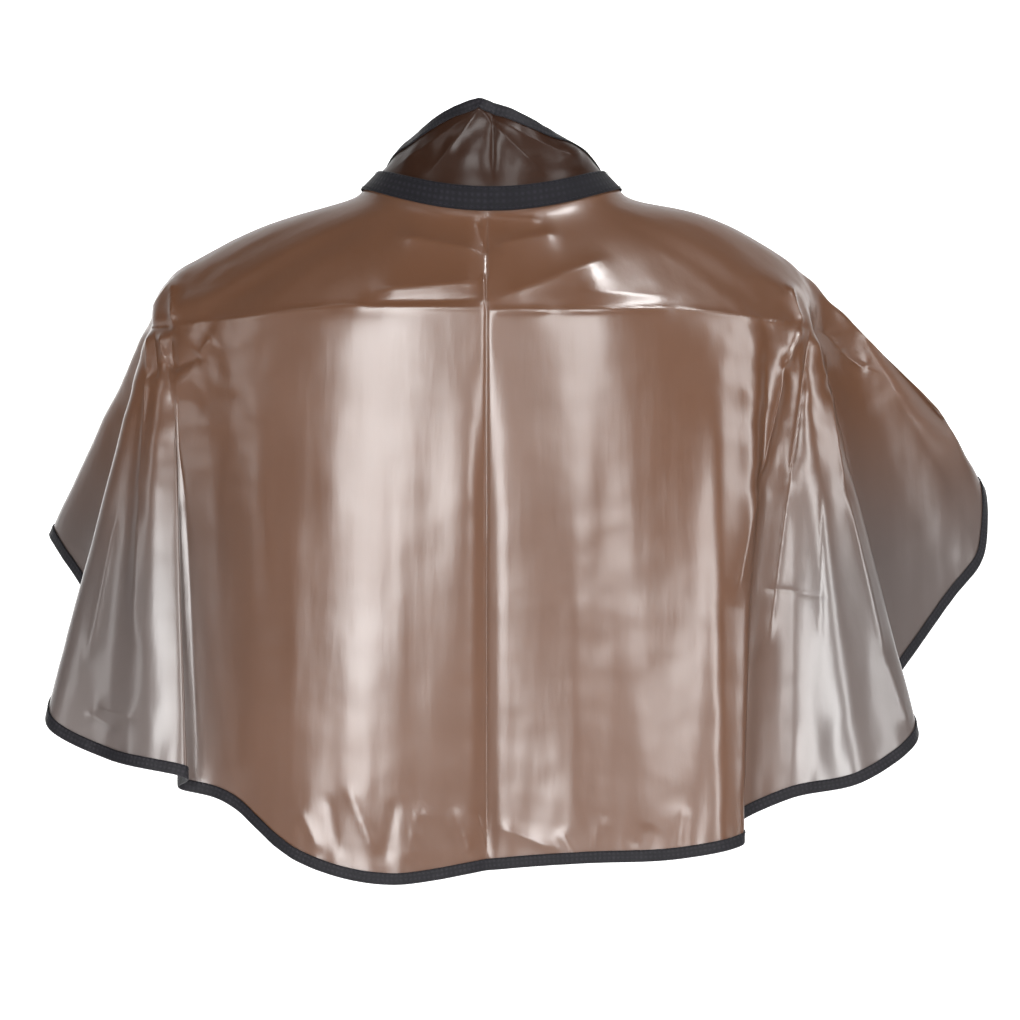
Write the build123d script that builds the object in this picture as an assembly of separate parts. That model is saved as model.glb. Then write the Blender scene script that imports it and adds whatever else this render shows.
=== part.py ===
from build123d import *
import math
import os
from functools import lru_cache

os.makedirs("parts", exist_ok=True)

# A waterproof shoulder cape, draped as it is worn.  Lengths are in mm and angles in degrees.
# The origin is the centre of the neck opening: +Z is up, +Y is the way the wearer faces and
# +X is the wearer's right-hand side.  A bearing goes round the neck from 0 at the middle of
# the back, positive towards the wearer's right, and passes 180 at the throat.

# ---------------------------------------------------------------- neck seam
SEAM_HALF_WIDTH = 85.0
SEAM_HALF_DEPTH = 73.0
SEAM_HEIGHT_BACK = 1.0
SEAM_HEIGHT_SIDE = 9.0
SEAM_HEIGHT_FRONT = -24.0
LEAN_BACK = 11.0            # lean of the neck band towards the neck, from the vertical
LEAN_SIDE = 46.0
LEAN_FRONT = 36.0

# ---------------------------------------------------------------- thicknesses and gaps
FILM = 1.0                  # the 0.2 mm film is thickened to this, as a solid stand-in
TAPE = 0.6                  # binding tape
CLEARANCE = 0.3             # gap between neighbouring pieces
SEAM_GAP = 0.5              # each film panel stops this far from the seam line

# ---------------------------------------------------------------- binding and bands
BINDING_WIDTH = 8.2
FOLD_CLEARANCE = 0.4        # gap between the film and the tape folded round it
BAND_TAPE = 0.8
BAND_ABOVE = 9.0            # reach of the neck band above the seam line
BAND_BELOW = 8.0
BAND_OFFSET = FILM / 2 + 0.4
BAND_END = 171.0            # bearing of each end of the neck band
FRONT_CORNER_RADIUS = 42.0

# ---------------------------------------------------------------- throat closure
STRIP_THICKNESS = 1.2       # hook strip and loop strip
STRIP_ABOVE = 7.5
STRIP_BELOW = 6.5
LOOP_START = -169.5
LOOP_END = -114.0
LOOP_OFFSET = BAND_OFFSET + BAND_TAPE + CLEARANCE
HOOK_START = 193.0
HOOK_END = 226.0
HOOK_LOOP_GAP = 0.9         # room for the pile between the two strips
HOOK_OFFSET = LOOP_OFFSET + STRIP_THICKNESS + HOOK_LOOP_GAP
TAB_ROOT = 171.6
TAB_LEVEL = 191.0           # from here on the tab lies over the hook strip
TAB_END = 229.0
TAB_OFFSET = HOOK_OFFSET + STRIP_THICKNESS + CLEARANCE
TAB_END_TAPER = 4.0         # the free end is narrowed by this, top and bottom
TAB_STEPS = 16

# ---------------------------------------------------------------- sewing thread
THREAD = 0.5
THREAD_LIFT = 0.1           # gap between a row of stitches and the tape it holds
EDGE_INSET = 1.6            # row of stitches to the edge of the tape
BOX_INSET = 1.5             # degrees from a strip's end to its box of stitches
BOX_SIDE = 0.5              # degrees taken by each short side of the box
STRAP_STEP = 4.0            # degrees between the sections of a strap

# ---------------------------------------------------------------- drape of the cape
# One row per rib of the drape: bearing at the neck seam, how far the film arches up between
# the neck and the shoulder, the point where it turns over the shoulder, the point on the hem.
# Between two ribs the drape is interpolated.
RIBS = [
    (-171, 2, (-23, 112, -96), (-67, 150, -372)),
    (-160, 3, (-51, 118, -104), (-117, 160, -380)),
    (-147, 5, (-97, 116, -108), (-170, 150, -384)),
    (-134, 8, (-145, 98, -98), (-210, 176, -356)),
    (-122, 9, (-185, 68, -78), (-241, 138, -334)),
    (-111, 9, (-211, 40, -62), (-277, 140, -288)),
    (-102, 9, (-226, 18, -55), (-323, 96, -250)),
    (-94, 9, (-231, 6, -55), (-295, 44, -284)),
    (-87, 9, (-233, -4, -58), (-273, 8, -318)),
    (-79, 9, (-234, -12, -62), (-305, -36, -348)),
    (-72, 9, (-233, -21, -67), (-308, -74, -366)),
    (-65, 8, (-230, -30, -72), (-263, -98, -384)),
    (-58, 8, (-224, -40, -76), (-210, -122, -392)),
    (-51, 8, (-216, -50, -79), (-216, -98, -404)),
    (-43, 7, (-201, -61, -82), (-181, -104, -414)),
    (-32, 6, (-163, -84, -80), (-133, -138, -447)),
    (-17, 5, (-93, -107, -74), (-71, -151, -461)),
    (0, 4, (-4, -114, -70), (-2, -140, -453)),
    (15, 5, (73, -108, -72), (59, -147, -447)),
    (29, 6, (135, -90, -78), (123, -150, -444)),
    (41, 8, (179, -68, -82), (171, -140, -436)),
    (49, 9, (196, -54, -81), (165, -106, -430)),
    (57, 11, (207, -42, -77), (208, -92, -412)),
    (65, 12, (215, -30, -72), (257, -100, -399)),
    (73, 14, (219, -18, -66), (298, -64, -374)),
    (81, 15, (221, -4, -59), (280, -6, -352)),
    (89, 15, (222, 8, -54), (295, 20, -338)),
    (97, 15, (228, 22, -56), (331, 62, -298)),
    (105, 22, (262, 42, -92), (361, 92, -262)),
    (112, 33, (325, 66, -158), (357, 122, -216)),
    (119, 27, (285, 98, -146), (313, 160, -262)),
    (129, 17, (211, 112, -120), (247, 178, -318)),
    (141, 7, (135, 118, -110), (187, 158, -362)),
    (155, 3, (65, 120, -106), (127, 162, -376)),
    (171, 2, (13, 112, -96), (71, 152, -372)),
]
LAST_RIB = len(RIBS) - 1
SHOULDER_ROUNDING = 18.0    # the film turns over the shoulder within this much either side
STRAIGHT_BELOW_SEAM = (0.0, 3.5, 7.0, 10.5, 13.5)
FIRST_POLE_PAST_SEAM = 12.0 # from the straight part by the seam to the next pole of a rib's curve
STEPS_PER_RIB = 2
POINTS_ALONG_RIB = 25
PROBE = 0.02                # small step along a rib, or between ribs, for finding a direction
CORNER_PLACE = 0.8          # up to this rib from either front edge, the binding stays square to the hem
CORNER_BLEND = 0.2          # and over this much more it turns to run up the ribs

# Height of the stand collar above the seam line, by bearing either side of its peak
COLLAR_HEIGHTS = [
    (0, 70.0), (15, 63.0), (25, 56.5), (35, 49.5), (45, 43.5),
    (60, 36.0), (78, 26.0), (95, 19.5), (120, 17.5), (180, 17.5),
]
COLLAR_PEAK = -6.0          # bearing of the peak
COLLAR_END = 166.0
COLLAR_STEP = 4.0


# ---------------------------------------------------------------- small helpers
def blend(start, end, share):
    """The value that lies at share (0 to 1) between start and end."""
    return start + (end - start) * share


def smooth_through(values, place):
    """Value at a fractional place in a list, on a smooth curve through all of the list."""
    index = min(int(place), len(values) - 2)
    share = place - index
    here = values[index]
    after = values[index + 1]
    before = values[index - 1] if index > 0 else here * 2 - after
    beyond = values[index + 2] if index + 2 < len(values) else after * 2 - here
    slope = (after - before) * share
    bend = (before * 2 - here * 5 + after * 4 - beyond) * share**2
    twist = (here * 3 - before - after * 3 + beyond) * share**3
    return here + (slope + bend + twist) * 0.5


def spline_point(poles, share):
    """Point at share (0 to 1) of the clamped cubic B-spline over the poles."""
    spans = len(poles) - 3
    place = min(share * spans, spans - 1e-9)
    first = int(place)
    knots = [min(max(k - 3, 0), spans) for k in range(len(poles) + 4)]
    level = list(poles[first:first + 4])
    for step in (1, 2, 3):
        for k in range(3, step - 1, -1):
            low = knots[first + k]
            high = knots[first + k + 4 - step]
            level[k] = blend(level[k - 1], level[k], (place - low) / (high - low))
    return level[3]


# ---------------------------------------------------------------- neck seam and band lines
def round_the_neck(back, side, front, bearing):
    """Value at a bearing, running smoothly between those at the back, the sides and the front."""
    turn = math.radians(bearing)
    mean = (back + front + 2 * side) / 4
    slope = (back - front) / 2
    saddle = (back + front - 2 * side) / 4
    return mean + slope * math.cos(turn) + saddle * math.cos(2 * turn)


def seam_point(bearing):
    """Point on the seam line between the cape and its collar."""
    turn = math.radians(bearing)
    height = round_the_neck(SEAM_HEIGHT_BACK, SEAM_HEIGHT_SIDE, SEAM_HEIGHT_FRONT, bearing)
    return Vector(SEAM_HALF_WIDTH * math.sin(turn), -SEAM_HALF_DEPTH * math.cos(turn), height)


def band_up(bearing):
    """Direction up the neck band, leaning in towards the neck."""
    turn = math.radians(bearing)
    lean = math.radians(round_the_neck(LEAN_BACK, LEAN_SIDE, LEAN_FRONT, bearing))
    outwards = Vector(math.sin(turn) / SEAM_HALF_WIDTH, -math.cos(turn) / SEAM_HALF_DEPTH, 0).normalized()
    return Vector(0, 0, 1) * math.cos(lean) - outwards * math.sin(lean)


def band_line(bearing, height):
    """Point in the middle of the film at a height above the seam line, on the neck band or the collar."""
    return seam_point(bearing) + band_up(bearing) * height


def band_out(bearing, height):
    """Direction out of the neck band or collar, square to its surface."""
    along = band_line(bearing + 0.5, height) - band_line(bearing - 0.5, height)
    return along.cross(band_up(bearing)).normalized()


def band_point(bearing, height, offset):
    """Point at a height above the seam line, offset outwards from the middle of the film."""
    return band_line(bearing, height) + band_out(bearing, 0) * offset


# ---------------------------------------------------------------- drape of the film
def rib_hem(place):
    """Hem point at a fractional rib, raised near both front edges to round the corners."""
    shoulder = smooth_through([Vector(*rib[2]) for rib in RIBS], place)
    hems = [Vector(*rib[3]) for rib in RIBS]
    hem = smooth_through(hems, place)
    front = hems[0] if place < LAST_RIB / 2 else hems[-1]
    short = max(FRONT_CORNER_RADIUS - (hem - front).length, 0.0)
    rise = FRONT_CORNER_RADIUS - math.sqrt(FRONT_CORNER_RADIUS**2 - short**2)
    return hem + (shoulder - hem).normalized() * rise


@lru_cache(maxsize=None)
def rib_poles(place):
    """Poles of the curve that the film follows from the seam line down to the hem."""
    bearing = smooth_through([rib[0] for rib in RIBS], place)
    shoulder = smooth_through([Vector(*rib[2]) for rib in RIBS], place)
    hem = rib_hem(place)
    poles = [band_line(bearing, -depth) for depth in STRAIGHT_BELOW_SEAM]
    neck = poles[-1]
    to_shoulder = (shoulder - neck).normalized()
    to_hem = (hem - shoulder).normalized()
    above = shoulder - to_shoulder * SHOULDER_ROUNDING
    below = shoulder + to_hem * SHOULDER_ROUNDING
    arch = Vector(0, 0, smooth_through([rib[1] for rib in RIBS], place))
    poles += [neck + to_shoulder * FIRST_POLE_PAST_SEAM, blend(neck, above, 0.5) + arch, above]
    poles += [below, blend(below, hem, 1 / 3), blend(below, hem, 2 / 3), hem]
    return poles


def film_point(place, share):
    """Point on the middle surface of the cape: a fractional rib, and a share of its length."""
    return spline_point(rib_poles(place), share)


def film_out(place, share):
    """Direction out of the film at a point."""
    low, high = max(place - PROBE, 0), min(place + PROBE, LAST_RIB)
    across = film_point(high, share) - film_point(low, share)
    down = film_point(place, min(share + PROBE, 1)) - film_point(place, max(share - PROBE, 0))
    return down.cross(across).normalized()


def share_at_depth(place, depth):
    """Share of a rib's length at a given depth below the seam line."""
    poles = rib_poles(place)
    share, reached, last = 0.0, 0.0, poles[0]
    while reached < depth:
        share += 0.001
        here = spline_point(poles, share)
        reached += (here - last).length
        last = here
    return share


def rib_shares(place):
    """Shares of a rib's length for the points of its section."""
    top = share_at_depth(place, SEAM_GAP)
    return [blend(top, 1.0, k / (POINTS_ALONG_RIB - 1)) for k in range(POINTS_ALONG_RIB)]


def rib_places():
    """Fractional ribs for the sections, closest together where the front corners are round."""
    corner = [1 - math.cos(math.radians(angle)) for angle in range(0, 91, 18)]
    first_pitch = (Vector(*RIBS[1][3]) - Vector(*RIBS[0][3])).length
    last_pitch = (Vector(*RIBS[-1][3]) - Vector(*RIBS[-2][3])).length
    starts = [share * FRONT_CORNER_RADIUS / first_pitch for share in corner]
    ends = [LAST_RIB - share * FRONT_CORNER_RADIUS / last_pitch for share in corner]
    middle = [1 + k / STEPS_PER_RIB for k in range((LAST_RIB - 2) * STEPS_PER_RIB + 1)]
    return starts + middle + ends[::-1]


# ---------------------------------------------------------------- collar
def collar_height(bearing):
    """Height of the collar's top edge above the seam line."""
    side = abs(bearing - COLLAR_PEAK)
    for (near, near_height), (far, far_height) in zip(COLLAR_HEIGHTS, COLLAR_HEIGHTS[1:]):
        if side <= far:
            return blend(near_height, far_height, (side - near) / (far - near))
    return COLLAR_HEIGHTS[-1][1]


def collar_bearings():
    """Bearings for the collar's sections, from the left front round to the right front."""
    steps = round(2 * COLLAR_END / COLLAR_STEP)
    return [blend(-COLLAR_END, COLLAR_END, k / steps) for k in range(steps + 1)]


# ---------------------------------------------------------------- solids along a path
def right_way_out(solid):
    """The same solid with its faces turned to look outwards."""
    return solid if solid.volume > 0 else Solid(solid.wrapped.Reversed())


def loft_sections(sections):
    """Solid through a row of closed sections, each a list of corner points."""
    faces = [Face(Wire.make_polygon(end, close=True)) for end in (sections[0], sections[-1])]
    for here, after in zip(sections, sections[1:]):
        for k in range(len(here)):
            side = Edge.make_line(here[k - 1], here[k])
            next_side = Edge.make_line(after[k - 1], after[k])
            faces.append(Face.make_surface_from_curves(side, next_side))
    return right_way_out(Solid(Shell(faces)))


def sheet_solid(rows, outs, thickness):
    """Thin solid on both sides of a surface given as rows of points and their outward directions."""
    strips = []
    for points, directions in zip(rows, outs):
        shares = [k / (len(points) - 1) for k in range(len(points))]
        outer = [point + out * (thickness / 2) for point, out in zip(points, directions)]
        inner = [point - out * (thickness / 2) for point, out in zip(points, directions)]
        outside = Edge.make_spline(outer, parameters=shares)
        inside = Edge.make_spline(inner, parameters=shares)
        top = Edge.make_line(inner[0], outer[0])
        bottom = Edge.make_line(inner[-1], outer[-1])
        strips.append((outside, inside, top, bottom))
    faces = [Face.make_surface_from_curves(end[0], end[1]) for end in (strips[0], strips[-1])]
    for here, after in zip(strips, strips[1:]):
        faces += [Face.make_surface_from_curves(a, b) for a, b in zip(here, after)]
    return right_way_out(Solid(Shell(faces)))


def place_profile(frames, profile):
    """Sections of a profile, its corners given as (inward, outward), carried along an edge path."""
    return [[point + inward * a + out * b for a, b in profile] for point, inward, out in frames]


def folded_tape(frames):
    """Binding tape folded round the edge of the film."""
    inside = FILM / 2 + FOLD_CLEARANCE
    outside = inside + TAPE
    fold = -FOLD_CLEARANCE - TAPE
    reach = fold + BINDING_WIDTH
    profile = [(reach, outside), (fold, outside), (fold, -outside), (reach, -outside)]
    profile += [(reach, -inside), (-FOLD_CLEARANCE, -inside), (-FOLD_CLEARANCE, inside), (reach, inside)]
    return loft_sections(place_profile(frames, profile))


def tape_thread(frames):
    """Row of stitches along the open edge of the folded tape, on its outside."""
    low = FILM / 2 + FOLD_CLEARANCE + TAPE + THREAD_LIFT
    near = BINDING_WIDTH - FOLD_CLEARANCE - TAPE - EDGE_INSET - THREAD
    profile = [(near, low), (near + THREAD, low), (near + THREAD, low + THREAD), (near, low + THREAD)]
    return loft_sections(place_profile(frames, profile))


def strap_section(bearing, above, below, offset, thickness):
    """Corners of a flat strap's section at a bearing on the neck band line."""
    corners = [(above, offset), (above, offset + thickness), (-below, offset + thickness), (-below, offset)]
    return [band_point(bearing, height, depth) for height, depth in corners]


def strap(start, end, above, below, offset, thickness):
    """Flat strap lying on the neck band line between two bearings."""
    steps = max(round((end - start) / STRAP_STEP), 2)
    bearings = [blend(start, end, k / steps) for k in range(steps + 1)]
    return loft_sections([strap_section(bearing, above, below, offset, thickness) for bearing in bearings])


def box_stitch(start, end, offset):
    """Closed box of stitches just inside the outline of a hook or loop strip."""
    above = STRIP_ABOVE - EDGE_INSET
    below = STRIP_BELOW - EDGE_INSET
    start += BOX_INSET
    end -= BOX_INSET
    upper = strap(start, end, above, THREAD - above, offset, THREAD)
    lower = strap(start, end, THREAD - below, below, offset, THREAD)
    near = strap(start, start + BOX_SIDE, above, below, offset, THREAD)
    far = strap(end - BOX_SIDE, end, above, below, offset, THREAD)
    return upper.fuse(lower, near, far).solids()[0]


# ---------------------------------------------------------------- pieces
def cape_panel():
    """The one-piece film body, from the seam line to the hem."""
    rows, outs = [], []
    for place in rib_places():
        rows.append([film_point(place, share) for share in rib_shares(place)])
        outs.append([film_out(place, share) for share in rib_shares(place)])
    return sheet_solid(rows, outs, FILM)


def collar_panel():
    """The film stand collar, peaked at the middle of the back."""
    rows, outs = [], []
    for bearing in collar_bearings():
        heights = [blend(SEAM_GAP, collar_height(bearing), k / 3) for k in range(4)]
        rows.append([band_line(bearing, height) for height in heights])
        outs.append([band_out(bearing, height) for height in heights])
    return sheet_solid(rows, outs, FILM)


def hem_frame(place):
    """Hem point with its inward and outward directions; away from the front corners, inward is up the rib."""
    out = film_out(place, 1.0)
    low, high = max(place - PROBE, 0), min(place + PROBE, LAST_RIB)
    square = out.cross(film_point(high, 1.0) - film_point(low, 1.0)).normalized()
    up_rib = (film_point(place, 1.0 - PROBE) - film_point(place, 1.0)).normalized()
    past_corner = (min(place, LAST_RIB - place) - CORNER_PLACE) / CORNER_BLEND
    share = min(max(past_corner, 0), 1)
    return film_point(place, 1.0), blend(square, up_rib, share).normalized(), out


def front_frame(place, share):
    """Point on a front edge with its inward and outward directions."""
    side = 1 if place == 0 else -1
    point = film_point(place, share)
    reach = 0.2
    pitch = (film_point(place + side * reach, share) - point).length / reach
    inner = place + side * BINDING_WIDTH / pitch
    return point, (film_point(inner, share) - point).normalized(), film_out((place + inner) / 2, share)


def edge_path():
    """Frames along the cape's free edge: down the left front, round the hem, up the right front."""
    clear_of_band = share_at_depth(0, BAND_BELOW + 1.5)
    shares = [share for share in rib_shares(0)[:-1] if share > clear_of_band]
    down = [front_frame(0, share) for share in shares]
    hem = [hem_frame(place) for place in rib_places()]
    up = [front_frame(LAST_RIB, share) for share in reversed(shares)]
    return down + hem + up


def collar_path():
    """Frames along the top edge of the collar, from the right front round to the left front."""
    frames = []
    for bearing in collar_bearings()[::-1]:
        height = collar_height(bearing)
        out = band_out(bearing, height)
        after = band_line(bearing - 1, collar_height(bearing - 1))
        before = band_line(bearing + 1, collar_height(bearing + 1))
        frames.append((band_line(bearing, height), out.cross(after - before).normalized(), out))
    return frames


def neck_band():
    """Tape that covers the neck seam all the way round."""
    return strap(-BAND_END, BAND_END, BAND_ABOVE, BAND_BELOW, BAND_OFFSET, BAND_TAPE)


def neck_band_thread(height):
    """Row of stitches along the neck band at a height above the seam line."""
    offset = BAND_OFFSET + BAND_TAPE + THREAD_LIFT
    return strap(LOOP_END + 2, BAND_END - 1, height + THREAD / 2, THREAD / 2 - height, offset, THREAD)


def closure_tab():
    """Free end of the neck band: it crosses the throat and presses down on the loop strip."""
    sections = []
    for k in range(TAB_STEPS + 1):
        bearing = blend(TAB_ROOT, TAB_END, k / TAB_STEPS)
        rise = min((bearing - TAB_ROOT) / (TAB_LEVEL - TAB_ROOT), 1.0)
        offset = blend(BAND_OFFSET, TAB_OFFSET, rise * rise * (3 - 2 * rise))
        taper = TAB_END_TAPER if k == TAB_STEPS else 0.0
        sections.append(strap_section(bearing, BAND_ABOVE - taper, BAND_BELOW - taper, offset, BAND_TAPE))
    return loft_sections(sections)


def loop_strip():
    """Soft half of the touch fastener, on the left end of the neck band."""
    return strap(LOOP_START, LOOP_END, STRIP_ABOVE, STRIP_BELOW, LOOP_OFFSET, STRIP_THICKNESS)


def hook_strip():
    """Hooked half of the touch fastener, on the inside of the tab."""
    return strap(HOOK_START, HOOK_END, STRIP_ABOVE, STRIP_BELOW, HOOK_OFFSET, STRIP_THICKNESS)


cape_edge = edge_path()
collar_edge = collar_path()

pieces = {
    "cape_panel": cape_panel(),
    "edge_binding": folded_tape(cape_edge),
    "edge_binding_thread": tape_thread(cape_edge),
    "collar_panel": collar_panel(),
    "collar_binding": folded_tape(collar_edge),
    "collar_binding_thread": tape_thread(collar_edge),
    "neck_band": neck_band(),
    "neck_band_upper_thread": neck_band_thread(BAND_ABOVE - EDGE_INSET),
    "neck_band_lower_thread": neck_band_thread(EDGE_INSET - BAND_BELOW),
    "loop_strip": loop_strip(),
    "loop_strip_thread": box_stitch(LOOP_START, LOOP_END, LOOP_OFFSET + STRIP_THICKNESS + THREAD_LIFT),
    "closure_tab": closure_tab(),
    "hook_strip": hook_strip(),
    "hook_strip_thread": box_stitch(HOOK_START, HOOK_END, TAB_OFFSET + BAND_TAPE + THREAD_LIFT),
}

for name, solid in pieces.items():
    box = solid.bounding_box()
    print(name, "valid" if solid.is_valid else "INVALID", "volume", round(solid.volume, 1), box.min, box.max)
    export_step(solid, f"parts/{name}.step")
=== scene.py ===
import math

import bpy
import numpy as np
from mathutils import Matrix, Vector, noise
from mathutils.bvhtree import BVHTree


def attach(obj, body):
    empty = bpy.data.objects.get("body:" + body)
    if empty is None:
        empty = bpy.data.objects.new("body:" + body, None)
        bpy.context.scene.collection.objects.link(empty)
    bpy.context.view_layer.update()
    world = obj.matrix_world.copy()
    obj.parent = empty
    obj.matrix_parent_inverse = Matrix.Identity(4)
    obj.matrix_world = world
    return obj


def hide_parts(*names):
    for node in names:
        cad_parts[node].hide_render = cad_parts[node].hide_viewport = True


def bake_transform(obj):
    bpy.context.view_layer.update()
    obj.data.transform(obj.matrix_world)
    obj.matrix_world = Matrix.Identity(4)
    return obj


# The looks of a short waterproof barber cape, draped as it is worn and seen from behind.
# Lengths are in mm until a mesh is made; the studio and the materials are in metres.  The origin is
# the centre of the neck opening: +Z is up, +Y is the way the wearer faces and +X is the wearer's
# right.  A bearing goes round the neck in degrees from 0 at the middle of the back, positive towards
# the wearer's right.
MM = 0.001

# ---------------- neck seam and bands, as in the CAD
SEAM_HALF_WIDTH = 85.0
SEAM_HALF_DEPTH = 73.0
SEAM_HEIGHTS = (1.0, 9.0, -24.0)        # at the back, the sides and the front
LEANS = (11.0, 46.0, 36.0)              # lean towards the neck, from the vertical
BAND_ABOVE = 9.0
BAND_BELOW = 8.0
BAND_OFFSET = 0.9
BAND_TAPE = 0.8
BAND_END = 171.0
BAND_COLUMNS = 520
BAND_LIFT = 0.35                        # how much higher the wavy tape lies on average
BAND_PINCH = (1.0, 1.6, 0.9)            # bearing, width in degrees and height
BAND_STITCH_LIFT = 0.9
STRIP_ABOVE = 7.5
STRIP_BELOW = 6.5
STRIP_THICKNESS = 0.5
LOOP_SPAN = (-169.5, -114.0)            # bearings of a strip's ends
LOOP_OFFSET = 2.0
HOOK_SPAN = (193.0, 226.0)
HOOK_OFFSET = 4.8
TAB_ROOT = 171.6
TAB_LEVEL = 191.0
TAB_END = 229.0
TAB_OFFSET = 5.6
TIP_SPAN = 3.0                          # and its tip is rounded over this many
TIP_MARGIN = 0.2
TIP_NARROWING = 0.55

# Pile of both strips: threads up and along the strip, radius of a thread, how unevenly they stand,
# and the places that a thread is bent through, (along, out) from its foot
LOOPS = ((11, 70), 0.09, 0.5,
         [(-0.35, 0.0), (-0.4, 0.5), (-0.15, 0.85), (0.15, 0.85), (0.4, 0.5), (0.35, 0.0)])
HOOKS = ((9, 28), 0.12, 0.0, [(-0.2, 0.0), (-0.2, -0.55), (-0.05, -0.8), (0.2, -0.75), (0.25, -0.5)])
THREAD_SIDES = 4
THREAD_FLATNESS = 0.7
PILE_MARGIN = 1.0

# ---------------- binding and thread
BINDING_WIDTH = 8.2
BINDING_GAP = 0.35
BINDING_TAPE = 0.5
BINDING_STEP = 2.2                      # distance between two sections of the tape
BINDING_DEPTHS = (0.0, 1.6, 3.2, 4.8, 6.2, BINDING_WIDTH - 0.9)     # how far in from the film's edge
BINDING_ROUND = (50, 15, -15, -50)      # angles of the tape's corners round the edge
BINDING_FIRST_ROW = 6                   # the front edges are bound from just under the neck band
INNER_ROWS = 3                          # rows from hem or collar edge to the line that shows which way is in
STITCH_LENGTH = 2.3
STITCH_PITCH = 3.0
STITCH_RADIUS = 0.22
STITCH_INSET = 1.7
STITCH_SIDES = 6
BOX_INSET = 1.5                         # degrees from a strip's ends to its box of stitches
BOX_LIFT = 0.15

# ---------------- drape of the cape, as in the CAD
# Bearing at the neck seam, arch between neck and shoulder, shoulder point, hem point
RIBS = [
    (-171, 2, (-23, 112, -96), (-67, 150, -372)),
    (-160, 3, (-51, 118, -104), (-117, 160, -380)),
    (-147, 5, (-97, 116, -108), (-170, 150, -384)),
    (-134, 8, (-145, 98, -98), (-210, 176, -356)),
    (-122, 9, (-185, 68, -78), (-241, 138, -334)),
    (-111, 9, (-211, 40, -62), (-277, 140, -288)),
    (-102, 9, (-226, 18, -55), (-323, 96, -250)),
    (-94, 9, (-231, 6, -55), (-295, 44, -284)),
    (-87, 9, (-233, -4, -58), (-273, 8, -318)),
    (-79, 9, (-234, -12, -62), (-305, -36, -348)),
    (-72, 9, (-233, -21, -67), (-308, -74, -366)),
    (-65, 8, (-230, -30, -72), (-263, -98, -384)),
    (-58, 8, (-224, -40, -76), (-210, -122, -392)),
    (-51, 8, (-216, -50, -79), (-216, -98, -404)),
    (-43, 7, (-201, -61, -82), (-181, -104, -414)),
    (-32, 6, (-163, -84, -80), (-133, -138, -447)),
    (-17, 5, (-93, -107, -74), (-71, -151, -461)),
    (0, 4, (-4, -114, -70), (-2, -140, -453)),
    (15, 5, (73, -108, -72), (59, -147, -447)),
    (29, 6, (135, -90, -78), (123, -150, -444)),
    (41, 8, (179, -68, -82), (171, -140, -436)),
    (49, 9, (196, -54, -81), (165, -106, -430)),
    (57, 11, (207, -42, -77), (208, -92, -412)),
    (65, 12, (215, -30, -72), (257, -100, -399)),
    (73, 14, (219, -18, -66), (298, -64, -374)),
    (81, 15, (221, -4, -59), (280, -6, -352)),
    (89, 15, (222, 8, -54), (295, 20, -338)),
    (97, 15, (228, 22, -56), (331, 62, -298)),
    (105, 22, (262, 42, -92), (361, 92, -262)),
    (112, 33, (325, 66, -158), (357, 122, -216)),
    (119, 27, (285, 98, -146), (313, 160, -262)),
    (129, 17, (211, 112, -120), (247, 178, -318)),
    (141, 7, (135, 118, -110), (187, 158, -362)),
    (155, 3, (65, 120, -106), (127, 162, -376)),
    (171, 2, (13, 112, -96), (71, 152, -372)),
]
LAST_RIB = len(RIBS) - 1
BACK_RIBS = (8, 28)                     # ribs that the back's view shows
CREASED_RIBS = (16.9, 17.1)             # finer columns run along the crease down the middle of the back
CREASE_COLUMNS = 24
SHOULDER_ROUNDING = 9.0
STRAIGHT_BELOW_SEAM = (0.0, 3.5, 7.0, 10.5, 13.5)       # the film keeps the band's slope down to here
ARCH_STARTS = 12.0                      # from the end of that straight part to the arch's first pole
FRONT_CORNER_RADIUS = 42.0
BACK_STEPS = 23                         # grid columns between two ribs of the back
FRONT_STEPS = 9
ROWS = 290
FILM_TOP = 0.5                          # both films stop this far from the seam line
CURVE_SAMPLES = 1500

# Height of the collar above the seam line, by bearing either side of its peak
COLLAR_SIDES = (0, 15, 25, 35, 45, 60, 78, 95, 120, 180)
COLLAR_HEIGHTS = (70, 63, 56.5, 49.5, 43.5, 36, 26, 19.5, 17.5, 17.5)
COLLAR_PEAK = -6.0
COLLAR_END = 166.0
COLLAR_COLUMNS = 500
COLLAR_ROWS = 60
COLLAR_SMOOTH_TO = 30.0                 # the collar's folds are full from this height above the seam
COLLAR_BULGE = (48.0, 26.0, 7.0)        # bearing, half width in degrees and height
COLLAR_CREASE = (1.0, 2.2, -2.2)        # bearing, width in degrees and height
COLLAR_FAN = [(-0.55, 4, 1.6), (0.7, 5, 1.6), (-1.1, 6, 1.2), (1.25, 7, 1.3)]   # lean, width and height
COLLAR_FAN_TOP = 62.0                   # height above the seam where those creases meet under the peak

# ---------------- folds and creases of the film
# Each is a line on the back, (across, up) to (across, up), with its width and how far it stands out.
CENTRE_CREASE = (-3, -8, -3, -452, 1.4, -1.5)
PACK_CREASES = [
    (-222, -88, -103, -70, 3, 1.6), (-103, -70, -3, -71, 2.5, 1.6), (-3, -73, 42, -73, 2.5, 1.6),
    (42, -73, 130, -73, 2.5, 1.6), (130, -73, 216, -87, 3, 1.6), (190, -268, 232, -274, 3, -0.7),
    (230, -203, 228, -304, 3, -0.8),
]
NECK_WRINKLES = [
    (-38, -4, -5, -9, 3, 1.4), (-3, -9, 34, -14, 3, 1.2), (-64, -24, -8, -34, 6, 2.8),
    (4, -30, 46, -22, 8, 2.4), (-10, -12, -4, -34, 3, -1.4), (-78, -60, -8, -54, 9, 3.0),
    (-5, -49, -5, -70, 2.5, 1.8), (-85, -68, -9, -65, 4, -1.6), (6, -64, 80, -39, 9, 2.7),
    (60, -60, 124, -66, 9, 1.2),
]
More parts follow.
